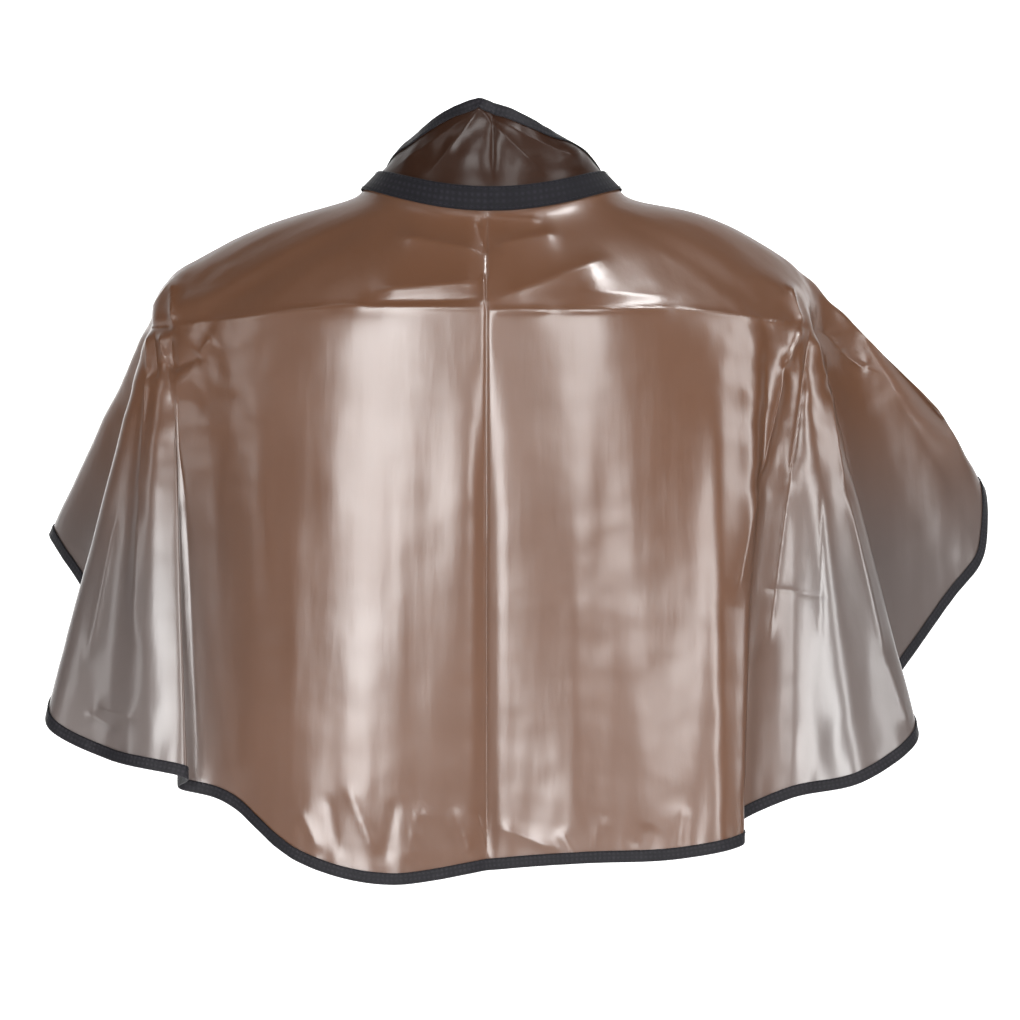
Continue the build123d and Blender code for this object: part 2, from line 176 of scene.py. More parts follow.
LEFT_FOLDS = [
    (-222, -59, -221, -86, 3.5, 2.8), (-222, -59, -247, -91, 4, 2.2), (-247, -91, -222, -88, 3, -2.0),
    (-240, -95, -240, -123, 3, 2.4), (-231, -95, -227, -113, 3, 2.0), (-236, -94, -233, -124, 2.5, -1.8),
    (-223, -95, -223, -118, 3, -1.8), (-223, -118, -202, -108, 3, -1.6), (-202, -108, -193, -95, 4, 1.5),
    (-228, -102, -212, -207, 6, -1.5), (-212, -207, -203, -398, 6, -1.2), (-241, -123, -242, -211, 5, 2.5),
    (-242, -211, -244, -304, 6, 2.0), (-260, -216, -280, -317, 6, 2.0), (-271, -350, -242, -356, 5, 1.5),
    (-281, -354, -257, -364, 4, -1.5),
]
RIGHT_FOLDS = [
    (208, -61, 217, -87, 3.5, 3.0), (217, -90, 203, -116, 4, 3.0), (203, -116, 184, -193, 6, 4.0),
    (184, -193, 167, -272, 7, 3.0), (223, -94, 208, -194, 3, -3.0), (208, -194, 193, -304, 4, -2.0),
    (226, -98, 235, -130, 3.5, 2.5), (235, -130, 246, -201, 4.5, 3.0), (246, -201, 274, -319, 5, 3.0),
    (274, -319, 291, -367, 5, 2.0), (234, -94, 250, -110, 3, -2.0), (250, -110, 268, -125, 3, -2.2),
    (237, -114, 257, -199, 3.5, -2.5), (268, -125, 294, -134, 3, 1.8), (294, -134, 311, -146, 3, 1.5),
    (268, -122, 272, -112, 3, 1.5),
]
HEM_PUCKERS = [
    (-131, -412, -117, -440, 4, 1.0), (-98, -396, -79, -440, 5, 1.2), (-65, -404, -72, -446, 4, -1.0),
    (-48, -408, -55, -446, 4, 1.2), (-27, -412, -14, -446, 4, 1.0), (-9, -416, 0, -450, 4, 0.9),
    (6, -424, 47, -439, 4, 1.0), (47, -426, 61, -445, 4, 1.0), (108, -422, 100, -438, 4, -0.9),
    (76, -416, 70, -444, 4, 0.8), (-112, -402, -104, -442, 4, -0.8), (132, -410, 126, -440, 4, 0.8),
]
CREASES = [CENTRE_CREASE] + PACK_CREASES + NECK_WRINKLES + LEFT_FOLDS + RIGHT_FOLDS + HEM_PUCKERS
# Broad hanging folds of the back: middle (across), half width, how far they stand out
HANGING_FOLDS = [
    (-8, 40, 4.0), (-3, 8, -3.5), (50, 28, 2.5), (128, 18, -1.0), (156, 10, 2.0),
]
FOLDS_START = -84.0                     # the hanging folds begin at this height and are full at the next
FOLDS_FULL = -210.0
FOLDS_LEFT_RIBS = (13.5, 14.5)          # they fade out between these ribs at the left
FOLDS_RIGHT_RIBS = (19.5, 20.5)         # and between these at the right
LEFT_FLUTE = 11.35                      # crown of the left flute: its rib, half width in ribs, and rise
LEFT_FLUTE_RIBS = 0.42
LEFT_FLUTE_RISE = 7.0
FRONT_FOLD_DEPTH = 2.6                  # the soft upright folds of both fronts, and the ribs that each takes
FRONT_FOLD_RIBS = 1.9
FRONTS_BEGIN = (10, 13)                 # ribs from the middle rib, where the fronts' folds fade in
FRONTS_END = (15.5, 17)                 # and where they fade out towards the front edges
HEM_PUCKER_FADE = 11.0                  # how quickly the small puckers die out above the hem
SHOULDERS_ACROSS = (225.0, 55.0)        # middle and half width of the crumple at each shoulder
SHOULDERS_UP = (-100.0, 60.0)
CRUMPLE_EVERYWHERE = 0.12               # share of the shoulders' crumple over all of the film
CRUMPLE_ON_FRONTS = 0.25
NECK_FADE = (0.012, 0.03)               # share of the grid, from the neck, over which the relief fades in

# Smooth random unevenness: layers of (sizes along x, y and z, seed, height)
STREAKS = [((18, 60, 300), 3.0, 0.5), ((8, 40, 220), 9.0, 0.12)]
SMALL_PUCKERS = [((11, 22, 34), 20.0, 0.9)]
CRUMPLE = [((30, 30, 22), 40.0, 2.2), ((13, 13, 11), 60.0, 0.5)]
COLLAR_WAVES = [((24, 24, 30), 5.0, 2.0), ((9, 9, 12), 6.0, 0.5)]
BINDING_WAVES = [((9, 9, 9), 7.0, 0.25)]
BAND_WAVES = [((14, 14, 14), 2.0, BAND_LIFT)]

# ---------------- looks
# Films: colour of the surface, colour of the light that comes through, and gloss
FILMS = {
    "cape_film": ((0.112, 0.041, 0.0135), (0.074, 0.057, 0.051), 0.9),
    # the collar's colours are painted much darker than the cape's: painted shade round the neck
    "collar_film": ((0.026, 0.010, 0.005), (0.012, 0.007, 0.005), 0.2),
}
FLUTE_PAINTED_BACKLIGHT_TINT = (0.075, 0.061, 0.057)      # painted backlight: both colours greyer and lighter low at the sides, where the film hangs free
FLUTE_PAINTED_BACKLIGHT_SMOKE = (0.120, 0.114, 0.114)
PAINTED_BACKLIGHT_ACROSS = (0.15, 0.25)             # metres from the middle over which the painted backlight turns the film greyer and lighter
PAINTED_BACKLIGHT_HEIGHTS = (-0.12, -0.28)          # and the heights
PAINTED_BACKLIGHT_SHARE = 0.85
CLEAR_SHARE = 0.012                     # light that passes straight through the film
CLEAR_TINT = 6                          # its colour, as a multiple of the other light's
GLOW_SHARE = 0.5
BLACK = (0.002, 0.002, 0.003)
# Woven and fluffy looks: darkest and lightest colour, thread in mm, roughness and sheen
WEAVES = {
    "binding_tape": (BLACK, (0.016, 0.014, 0.018), 0.5, 0.6, 0.04),
    "band_tape": (BLACK, (0.010, 0.009, 0.013), 0.7, 0.8, 0.04),
    "hook_pile": ((0.003, 0.003, 0.004), (0.02, 0.02, 0.021), 0.8, 0.45, 0.0),
    "loop_pile": (BLACK, (0.012, 0.012, 0.013), 0.8, 0.9, 0.1),
}
THREAD_LIGHT = (0.012, 0.011, 0.014)

# ---------------- studio, in metres and watts
# Name, place, point it faces, width and height, power
SOFTBOXES = [
    ("left_softbox", (-1.0, -3.1, 0.3), (0, 0, -0.3), (1.1, 1.5), 118),
    ("right_softbox", (0.95, -3.1, 0.72), (0, 0, -0.3), (0.72, 1.5), 68),
    ("left_side_softbox", (-3.0, -1.6, 0.8), (0, 0, -0.3), (0.8, 1.8), 22),
    ("right_side_softbox", (3.0, -1.2, 0.8), (0.2, 0, -0.3), (0.8, 1.8), 62),
    ("front_left_softbox", (-1.5, 3.0, -0.1), (0, 0, -0.2), (1.2, 1.6), 12),
    ("front_right_softbox", (1.5, 3.0, -0.1), (0, 0, -0.2), (1.2, 1.6), 10),
    ("upper_left_softbox", (-1.3, -0.8, 1.7), (0, 0, -0.1), (0.5, 0.5), 2),
    ("upper_right_softbox", (1.3, -0.8, 1.7), (0, 0, -0.1), (0.5, 0.5), 38),
]
WORLD_COLOUR = (0.86, 0.86, 0.88)
WORLD_STRENGTH = 0.12
FLOOR_LEVEL = -1.5
WALL_PLACE = 6.4
WALL_TOP = 8.0
COVE_RADIUS = 2.4                       # the floor curves up into the wall
BACKDROP_HALF_WIDTH = 12.0
BACKDROP_GLOW = 0.82
DOME_RADIUS = 20.0
DOME_GLOW = 1.0
CAMERA_PLACE = (0.013, -3.0, 0.12)
CAMERA_AIM = (0.013, 0, -0.222)
CAMERA_LENS = 150.1                     # focal length and sensor width in mm
CAMERA_SENSOR = 36


# ---------------- small helpers
def blend(start, end, share):
    """The value that lies at share (0 to 1) between start and end."""
    return start + (end - start) * share


def smooth_step(value, low, high):
    """0 below low, 1 above high and smooth between them."""
    share = np.clip((value - low) / (high - low), 0, 1)
    return share * share * (3 - 2 * share)


def hump(value, middle, half_width):
    """1 at the middle, falling away smoothly on both sides."""
    return np.exp(-(((value - middle) / half_width) ** 2))


def ridge(value, middle, width):
    """1 at the middle, falling away from a sharp line on both sides."""
    return np.exp(-np.abs(value - middle) / width)


def unit(vectors):
    """The same directions with length 1."""
    return vectors / np.maximum(np.linalg.norm(vectors, axis=-1, keepdims=True), 1e-9)


def through(values, places):
    """Values at fractional places in a list, on the smooth curve through all of the list."""
    values = np.asarray(values, float)
    index = np.minimum(places.astype(int), len(values) - 2)
    share = (places - index).reshape((-1,) + (1,) * (values.ndim - 1))
    padded = np.concatenate([[values[0] * 2 - values[1]], values, [values[-1] * 2 - values[-2]]])
    before, here, after, beyond = (padded[index + k] for k in range(4))
    slope = (after - before) * share
    bend = (before * 2 - here * 5 + after * 4 - beyond) * share**2
    twist = (here * 3 - before - after * 3 + beyond) * share**3
    return here + (slope + bend + twist) * 0.5


def spline_weights(shares, count):
    """Weight of every pole at each share, for the clamped cubic B-spline over count poles."""
    spans = count - 3
    knots = np.clip(np.arange(count + 4) - 3, 0, spans).astype(float)
    place = np.clip(shares * spans, 0, spans - 1e-9)[:, None]
    weights = ((knots[:-1] <= place) & (place < knots[1:])).astype(float)
    for degree in (1, 2, 3):
        rise = np.maximum(knots[degree:-1] - knots[:-degree - 1], 1e-9)
        fall = np.maximum(knots[degree + 1:] - knots[1:-degree], 1e-9)
        rising = (place - knots[:-degree - 1]) / rise * weights[:, :-1]
        falling = (knots[degree + 1:] - place) / fall * weights[:, 1:]
        weights = rising + falling
    return weights


def wander(points, size, seed):
    """Smooth random value between -1 and 1 at each point, changing over about size mm along x, y and z."""
    scaled = points / np.asarray(size, float) + seed
    values = [noise.noise(point) for point in scaled.reshape(-1, 3).tolist()]
    return np.array(values).reshape(points.shape[:-1])


def unevenness(points, layers):
    """Sum of several layers of smooth random height at each point."""
    return sum(wander(points, size, seed) * height for size, seed, height in layers)


def lengths_along(points):
    """Distance along a row of points."""
    return np.concatenate([[0], np.cumsum(np.linalg.norm(np.diff(points, axis=0), axis=1))])


def points_at(places, reached, points):
    """Points at given distances along a row of points that reaches those in reached."""
    return np.stack([np.interp(places, reached, points[:, k]) for k in range(3)], -1)


def grid_normals(points):
    """Directions square to a grid of points."""
    down = np.gradient(points, axis=1)
    across = np.gradient(points, axis=0)
    return unit(np.cross(down, across))


# ---------------- neck seam and band lines
def round_the_neck(values, bearing):
    """Value at each bearing, running smoothly between those at the back, the sides and the front."""
    back, side, front = values
    turn = np.radians(bearing)
    mean = (back + front + 2 * side) / 4
    saddle = (back + front - 2 * side) / 4
    return mean + (back - front) / 2 * np.cos(turn) + saddle * np.cos(2 * turn)


def seam_points(bearing):
    """Points on the seam between the cape and its collar."""
    turn = np.radians(bearing)
    height = round_the_neck(SEAM_HEIGHTS, bearing)
    return np.stack([SEAM_HALF_WIDTH * np.sin(turn), -SEAM_HALF_DEPTH * np.cos(turn), height], -1)


def band_up(bearing):
    """Directions up the neck band, leaning in towards the neck."""
    turn = np.radians(bearing)
    lean = np.radians(round_the_neck(LEANS, bearing))[..., None]
    level = np.zeros_like(turn)
    outwards = unit(np.stack([np.sin(turn) / SEAM_HALF_WIDTH, -np.cos(turn) / SEAM_HALF_DEPTH, level], -1))
    return np.array([0.0, 0.0, 1.0]) * np.cos(lean) - outwards * np.sin(lean)


def band_line(bearing, height):
    """Points in the film at a height above the seam line."""
    return seam_points(bearing) + band_up(bearing) * np.asarray(height, float)[..., None]


def band_out(bearing):
    """Directions out of the neck band, square to its surface."""
    along = seam_points(bearing + 0.5) - seam_points(bearing - 0.5)
    return unit(np.cross(along, band_up(bearing)))


# ---------------- drape of the film
def rib_places():
    """Fractional ribs for the grid's columns, closest together across the back."""
    low, high = BACK_RIBS
    left = np.linspace(0, low, low * FRONT_STEPS, endpoint=False)
    back = np.linspace(low, high, (high - low) * BACK_STEPS, endpoint=False)
    back = np.union1d(back, np.linspace(*CREASED_RIBS, CREASE_COLUMNS))
    right = np.linspace(high, LAST_RIB, (LAST_RIB - high) * FRONT_STEPS + 1)
    return np.concatenate([left, back, right])


def rib_hems(places, shoulders):
    """Hem points, raised near both front edges to round the corners."""
    hems = through([rib[3] for rib in RIBS], places)
    corners = np.where((places < LAST_RIB / 2)[:, None], RIBS[0][3], RIBS[-1][3])
    short = np.maximum(FRONT_CORNER_RADIUS - np.linalg.norm(hems - corners, axis=1), 0)
    rise = FRONT_CORNER_RADIUS - np.sqrt(FRONT_CORNER_RADIUS**2 - short**2)
    return hems + unit(shoulders - hems) * rise[:, None]


def rib_poles(places):
    """Poles of the curve that the film follows from the seam line to the hem, at each place."""
    bearings = through([rib[0] for rib in RIBS], places)
    shoulders = through([rib[2] for rib in RIBS], places)
    arches = through([rib[1] for rib in RIBS], places)
    hems = rib_hems(places, shoulders)
    poles = [band_line(bearings, np.full_like(bearings, -depth)) for depth in STRAIGHT_BELOW_SEAM]
    neck = poles[-1]
    to_shoulder = unit(shoulders - neck)
    above = shoulders - to_shoulder * SHOULDER_ROUNDING
    below = shoulders + unit(hems - shoulders) * SHOULDER_ROUNDING
    arch = np.stack([np.zeros_like(arches), np.zeros_like(arches), arches], -1)
    poles += [neck + to_shoulder * ARCH_STARTS, blend(neck, above, 0.5) + arch, above]
    poles += [below, blend(below, hems, 1 / 3), blend(below, hems, 2 / 3), hems]
    return np.stack(poles, 1)


def smooth_drape(places):
    """Grid of points of the film before its creases: one row for each place, from neck to hem."""
    poles = rib_poles(places)
    samples = np.linspace(0, 1, CURVE_SAMPLES)
    middle = spline_weights(samples, poles.shape[1]) @ poles[len(places) // 2]
    reached = lengths_along(middle)
    shares = np.interp(np.linspace(FILM_TOP, reached[-1], ROWS), reached, samples)
    return np.einsum("sp,rpc->rsc", spline_weights(shares, poles.shape[1]), poles)


def crease_height(across, up, crease):
    """How far one straight crease lifts the film at each point."""
    x0, z0, x1, z1, width, height = crease
    along = (across - x0) * (x1 - x0) + (up - z0) * (z1 - z0)
    share = along / ((x1 - x0) ** 2 + (z1 - z0) ** 2)
    near = np.clip(share, 0, 1)
    distance = np.hypot(across - blend(x0, x1, near), up - blend(z0, z1, near))
    ends = smooth_step(share, -0.1, 0.2) * (1 - smooth_step(share, 0.8, 1.1))
    return height * ridge(distance, 0, width) * ends


def back_creases(across, up, places):
    """Height of all the straight creases, which lie on the back only."""
    low, high = BACK_RIBS
    on_back = smooth_step(places, low, low + 1) * (1 - smooth_step(places, high - 1, high))
    height = np.zeros(across.shape)
    for crease in CREASES:
        height += crease_height(across, up, crease)
    return height * on_back[:, None]


def on_fronts(places):
    """1 over both fronts, 0 over the back and beside the front edges."""
    from_back = np.abs(places - LAST_RIB / 2)
    return smooth_step(from_back, *FRONTS_BEGIN) * (1 - smooth_step(from_back, *FRONTS_END))


def upright_folds(across, places):
    """Height of the broad upright folds where they hang fully, with the crown of the left flute."""
    on_middle = smooth_step(places, *FOLDS_LEFT_RIBS) * (1 - smooth_step(places, *FOLDS_RIGHT_RIBS))
    height = np.zeros(across.shape)
    for place, half_width, rise in HANGING_FOLDS:
        height += rise * hump(across, place, half_width) * on_middle[:, None]
    flute = hump(places, LEFT_FLUTE, LEFT_FLUTE_RIBS)
    waves = np.sin(places * 2 * np.pi / FRONT_FOLD_RIBS) * on_fronts(places)
    return height + (LEFT_FLUTE_RISE * flute + FRONT_FOLD_DEPTH * waves)[:, None]


def crumple_share(across, up, places):
    """How strongly the film is crumpled: most of all at both shoulders, a little everywhere."""
    shoulders = hump(np.abs(across), *SHOULDERS_ACROSS) * hump(up, *SHOULDERS_UP)
    return CRUMPLE_EVERYWHERE + shoulders + CRUMPLE_ON_FRONTS * on_fronts(places)[:, None]


def relief(points, places):
    """How far the film stands out from its smooth drape: folds, creases, puckers and crumples."""
    across, up = points[..., 0], points[..., 2]
    down = np.linspace(0, 1, points.shape[1])[None, :]
    hung = smooth_step(-up, -FOLDS_START, -FOLDS_FULL)
    height = back_creases(across, up, places)
    height += (upright_folds(across, places) + unevenness(points, STREAKS)) * hung
    height += unevenness(points, SMALL_PUCKERS) * np.exp(-(1 - down) * HEM_PUCKER_FADE)
    height += unevenness(points, CRUMPLE) * crumple_share(across, up, places)
    return height * smooth_step(down, *NECK_FADE)


def film_surface():
    """Grid of points of the creased cape film."""
    places = rib_places()
    smooth = smooth_drape(places)
    return smooth + grid_normals(smooth) * relief(smooth, places)[..., None]


def collar_relief(points, bearings, heights, shares):
    """How far the collar film stands out: a bulge, a middle crease, a fan of creases and waves."""
    place, half_width, rise = COLLAR_BULGE
    height = rise * hump(bearings, place, half_width) * np.sin(np.pi * shares)
    place, width, rise = COLLAR_CREASE
    height += rise * ridge(bearings, place, width)
    for lean, width, rise in COLLAR_FAN:
        height += rise * ridge(bearings - COLLAR_PEAK, lean * (COLLAR_FAN_TOP - heights), width)
    height += unevenness(points, COLLAR_WAVES)
    return height * smooth_step(heights, BAND_ABOVE, COLLAR_SMOOTH_TO)


def collar_surface():
    """Grid of points of the collar film, from its top edge down to the seam line."""
    bearings = np.linspace(-COLLAR_END, COLLAR_END, COLLAR_COLUMNS)[:, None]
    shares = np.linspace(1, 0, COLLAR_ROWS)[None, :]
    top = np.interp(np.abs(bearings - COLLAR_PEAK), COLLAR_SIDES, COLLAR_HEIGHTS)
    heights = blend(FILM_TOP, top, shares)
    bearings = np.repeat(bearings, COLLAR_ROWS, 1)
    points = band_line(bearings, heights)
    return points + grid_normals(points) * collar_relief(points, bearings, heights, shares)[..., None]


# ---------------- meshes
def mesh_object(name, points, faces, runs=None):
    """Smooth mesh from points in mm, with runs as its map of lengths along and across in mm."""
    mesh = bpy.data.meshes.new(name)
    mesh.from_pydata((np.asarray(points).reshape(-1, 3) * MM).tolist(), [], [list(face) for face in faces])
    mesh.shade_smooth()
    if runs is not None:
        corners = np.zeros(len(mesh.loops), np.int32)
        mesh.loops.foreach_get("vertex_index", corners)
        corner_runs = np.asarray(runs).reshape(-1, 2)[corners] * MM
        layer = mesh.uv_layers.new(name="run")
        layer.data.foreach_set("uv", corner_runs.astype(np.float32).ravel())
    piece = bpy.data.objects.new(name, mesh)
    bpy.context.scene.collection.objects.link(piece)
    return piece


def grid_faces(rows, columns, closed=False):
    """Four-sided faces of a grid of points, joined round when closed."""
    index = np.arange(rows * columns).reshape(rows, columns)
    if closed:
        index = np.concatenate([index, index[:, :1]], 1)
    corners = (index[:-1, :-1], index[1:, :-1], index[1:, 1:], index[:-1, 1:])
    return np.stack(corners, -1).reshape(-1, 4).tolist()


def sheet_mesh(name, points):
    """Open sheet of film through a grid of points."""
    along = lengths_along(points[:, points.shape[1] // 2])
    down = lengths_along(points[len(points) // 2])
    runs = np.stack(np.meshgrid(along, down, indexing="ij"), -1)
    return mesh_object(name, points, grid_faces(*points.shape[:2]), runs)


def tape_faces(rows, count):
    """Faces of a solid tape through closed sections of count points, with both ends filled."""
    first_end = list(range(count))[::-1]
    last_end = [(rows - 1) * count + k for k in range(count)]
    return grid_faces(rows, count, closed=True) + [first_end, last_end]


def tape_mesh(name, sections):
    """Solid tape through closed sections."""
    rows, count = sections.shape[:2]
    along = lengths_along(sections.mean(1))
    round_profile = lengths_along(sections[rows // 2])
    runs = np.stack(np.meshgrid(along, round_profile, indexing="ij"), -1)
    return mesh_object(name, sections, tape_faces(rows, count), runs)


def placed_copies(template, centres, forward, up):
    """Copies of a small shape, its x along forward and its z along up."""
    side = unit(np.cross(up, forward))
    up = unit(np.cross(forward, side))
    frames = np.stack([unit(forward), side, up], 1)
    return centres[:, None] + np.einsum("pk,nkc->npc", template, frames)


def capsule(length, radius):
    """Points and faces of a rounded stitch lying along x."""
    stations = ((-0.5, 0.25), (-0.42, 0.8), (-0.25, 1.0), (0.25, 1.0), (0.42, 0.8), (0.5, 0.25))
    points = []
    for place, share in stations:
        for k in range(STITCH_SIDES):
            turn = math.radians(360 / STITCH_SIDES * k)
            points.append((place * length, radius * share * math.cos(turn), radius * share * math.sin(turn)))
    return np.array(points), tape_faces(len(stations), STITCH_SIDES)


def stitches(name, line, out):
    """Row of single stitches lying along a line of points on a tape."""
    reached = lengths_along(line)
    places = np.arange(STITCH_PITCH / 2, reached[-1], STITCH_PITCH)
    forward = points_at(places + 0.5, reached, line) - points_at(places - 0.5, reached, line)
    ups = points_at(places, reached, out)
    template, faces = capsule(STITCH_LENGTH, STITCH_RADIUS)
    points = placed_copies(template, points_at(places, reached, line), forward, ups)
    every = [[corner + len(template) * k for corner in face] for k in range(len(points)) for face in faces]
    return mesh_object(name, points, every)


# ---------------- binding
def edge_frames(edge, inner):
    """Even stations along an edge of the film: point, inward direction and outward direction."""
    reached = lengths_along(edge)
    places = np.linspace(0, reached[-1], int(reached[-1] / BINDING_STEP))
    spots = points_at(places, reached, edge)
    tangent = unit(np.gradient(spots, axis=0))
    out = unit(np.cross(tangent, points_at(places, reached, inner) - spots))
    inward = unit(np.cross(out, tangent))
    return spots, inward, out


def binding_layers(points, spots, inward, out):
    """Lines of the film at each depth in from its edge, and the directions out of the film there."""
    tree = BVHTree.FromPolygons(points.reshape(-1, 3).tolist(), grid_faces(*points.shape[:2]))
    lines, facings = [], []
    for depth in BINDING_DEPTHS:
        line, facing = [], []
        for spot, into, outer in zip(spots, inward, out):
            near, square, _, _ = tree.find_nearest(Vector(spot + into * depth))
            line.append(near if depth else spot)
            facing.append(square if square.dot(Vector(outer)) > 0 else -square)
        lines.append(np.array(line))
        facings.append(unit(np.array(facing)))
    return lines, facings


def binding_sections(spots, inward, out, lines, facings):
    """Closed sections of the binding: round the film's edge on the outside, and back on the inside."""
    inside, outside = BINDING_GAP, BINDING_GAP + BINDING_TAPE
    wave = 1 + unevenness(spots, BINDING_WAVES)[:, None]
    layers = list(zip(lines, facings))
    section = [line + facing * outside * wave for line, facing in layers[::-1]]
    for angle in BINDING_ROUND:
        bend = math.radians(angle)
        section.append(spots + (out * math.sin(bend) - inward * math.cos(bend)) * outside)
    section += [line - facing * outside * wave for line, facing in layers]
    section += [line - facing * inside for line, facing in layers[::-1]]
    section += [spots - inward * inside]
    section += [line + facing * inside for line, facing in layers]
    return np.stack(section, 1)


def folded_tape(name, points, edge, inner, turn):
    """Binding folded round an edge of the film, and its stitches, on the side that turn (1 or -1) says."""
    spots, inward, out = edge_frames(edge, inner)
    out = out * turn
    lines, facings = binding_layers(points, spots, inward, out)
    tape = tape_mesh(name, binding_sections(spots, inward, out, lines, facings))
    lift = BINDING_GAP + BINDING_TAPE + STITCH_RADIUS * 0.6
    row = blend(lines[-1], lines[-2], 0.9) + facings[-2] * lift
    return tape, stitches(name + "_thread", row, facings[-2])


# ---------------- bands and strips
def strap_sections(bearings, above, below, offset, thickness):
    """Closed sections of a flat tape with soft edges, lying on the neck band line."""
    corner = thickness * 0.35
    heights = np.linspace(above - corner, corner - below, 7)
    profile = [(above, offset + corner), *[(height, offset) for height in heights], (-below, offset + corner)]
    profile += [(-below, offset + thickness - corner)]
    profile += [(height, offset + thickness) for height in heights[::-1]]
    profile += [(above, offset + thickness - corner)]
    section = []
    for height, stand_off in profile:
        level = band_line(bearings, np.full_like(bearings, height))
        section.append(level + band_out(bearings) * np.broadcast_to(stand_off, bearings.shape)[:, None])
    return np.stack(section, 1)


def neck_band():
    """Woven tape over the neck seam, slightly wavy, with a pinch at the middle of the back."""
    bearings = np.linspace(-BAND_END, BAND_END, BAND_COLUMNS)
    sections = strap_sections(bearings, BAND_ABOVE, BAND_BELOW, BAND_OFFSET, BAND_TAPE)
    place, width, rise = BAND_PINCH
    lift = BAND_LIFT + unevenness(sections.mean(1), BAND_WAVES) + rise * ridge(bearings, place, width)
    return tape_mesh("neck_band_tape", sections + (band_out(bearings) * lift[:, None])[:, None])


def band_stitches(name, height):
    """Row of stitches along the neck band, from the end of the loop strip to the band's other end."""
    bearings = np.linspace(LOOP_SPAN[1] + 2, BAND_END - 1, 500)
    out = band_out(bearings)
    line = band_line(bearings, np.full_like(bearings, height))
    return stitches(name, line + out * (BAND_OFFSET + BAND_TAPE + BAND_STITCH_LIFT), out)


def tab_offsets(bearings):
    """How far the tab stands off the neck line: level with the band at its root, then over both strips."""
    return blend(BAND_OFFSET, TAB_OFFSET, smooth_step(bearings, TAB_ROOT, TAB_LEVEL))


def closure_tab():
    """Free end of the neck tape, with a rounded tip."""
    straight = np.linspace(TAB_ROOT, TAB_END - TIP_SPAN, 60)
    tip = np.linspace(TAB_END - TIP_SPAN + TIP_MARGIN, TAB_END, 8)
    bearings = np.concatenate([straight, tip])
    from_end = (TAB_END + TIP_MARGIN - bearings) / (TIP_SPAN + TIP_MARGIN)
    width = blend(TIP_NARROWING, 1.0, np.sqrt(np.clip(from_end, 0, 1)))
    sections = strap_sections(bearings, BAND_ABOVE, BAND_BELOW, tab_offsets(bearings), BAND_TAPE)
    middle = sections.mean(1, keepdims=True)
    return tape_mesh("closure_tab_tape", middle + (sections - middle) * width[:, None, None])


def bent_thread(bearing, height, angle, offset, shape, radius):
    """Points of one thread of a pile, several round each place of its shape."""
    spot = np.array([bearing])
    base = band_line(spot, np.array([height]))[0]
    out = band_out(spot)[0]
    up = band_up(spot)[0]
    forward = np.cross(out, up) * math.cos(angle) + up * math.sin(angle)
    across = np.cross(out, forward)
    points = []
    for along, rise in shape:
        centre = base + forward * along + out * (offset + rise)
        for k in range(THREAD_SIDES):
            turn = math.radians(360 / THREAD_SIDES * (k + 0.5))
            rim = across * math.cos(turn) + forward * math.sin(turn) * THREAD_FLATNESS
            points.append(centre + rim * radius)
    return points


def pile(span, offset, kind):
    """Points and faces of the many bent threads that stand on a strip."""
    rng = np.random.default_rng(7)
    (rows, columns), radius, scatter, shape = kind
    step = (span[1] - span[0]) / columns
    thread_faces = grid_faces(len(shape), THREAD_SIDES, closed=True)
    points, faces = [], []
    for column in range(columns):
        for row in range(rows):
            bearing = span[0] + step * (column + 0.5 + rng.uniform(-scatter, scatter))
            share = (row + 0.5 + rng.uniform(-scatter, scatter)) / rows
            height = blend(PILE_MARGIN - STRIP_BELOW, STRIP_ABOVE - PILE_MARGIN, share)
            angle = rng.uniform(-math.pi, math.pi) * scatter * 2
            faces += [[len(points) + corner for corner in face] for face in thread_faces]
            points += bent_thread(bearing, height, angle, offset, shape, radius)
    return points, faces


def touch_strip(name, span, offset, pile_points, pile_faces):
    """One half of the touch fastener: its woven backing and its pile in one piece."""
    backing = strap_sections(np.linspace(*span, 80), STRIP_ABOVE, STRIP_BELOW, offset, STRIP_THICKNESS)
    points = backing.reshape(-1, 3).tolist()
    faces = tape_faces(*backing.shape[:2])
    faces += [[corner + len(points) for corner in face] for face in pile_faces]
    return mesh_object(name, points + [list(point) for point in pile_points], faces)


def box_stitches(name, span, offset):
    """Box of stitches just inside the outline of a strip."""
    low, high = STITCH_INSET - STRIP_BELOW, STRIP_ABOVE - STITCH_INSET
    bearings = np.linspace(span[0] + BOX_INSET, span[1] - BOX_INSET, 80)
    heights = np.linspace(low, high, 10)
    first_end, last_end = np.full_like(heights, bearings[0]), np.full_like(heights, bearings[-1])
    bottom, top = np.full_like(bearings, low), np.full_like(bearings, high)
    round_bearings = np.concatenate([bearings, last_end, bearings[::-1], first_end])
    round_heights = np.concatenate([bottom, heights, top, heights[::-1]])
    out = band_out(round_bearings)
    return stitches(name, band_line(round_bearings, round_heights) + out * offset, out)


# ---------------- materials
LOOKS = {}                              # the materials made below, by name


def new_material(name):
    """Starts an empty node material, and returns a function that adds one node to it.

    The function takes the node's kind and its inputs by name, or by number as i0, i1 and so on.  An
    input is a plain value or another node's output.  A set_ name is a setting of the node itself.
    """
    LOOKS[name] = bpy.data.materials.new(name)
    LOOKS[name].use_nodes = True
    tree = LOOKS[name].node_tree
    tree.nodes.clear()

    def add(kind, **inputs):
        node = tree.nodes.new(kind)
        for key, value in inputs.items():
            if key.startswith("set_"):
                setattr(node, key[4:], value)
                continue
            slot = node.inputs[int(key[1:])] if key[0] == "i" and key[1:].isdigit() else node.inputs[key]
            if isinstance(value, bpy.types.NodeSocket):
                tree.links.new(value, slot)
            else:
                slot.default_value = value
        return node

    return add


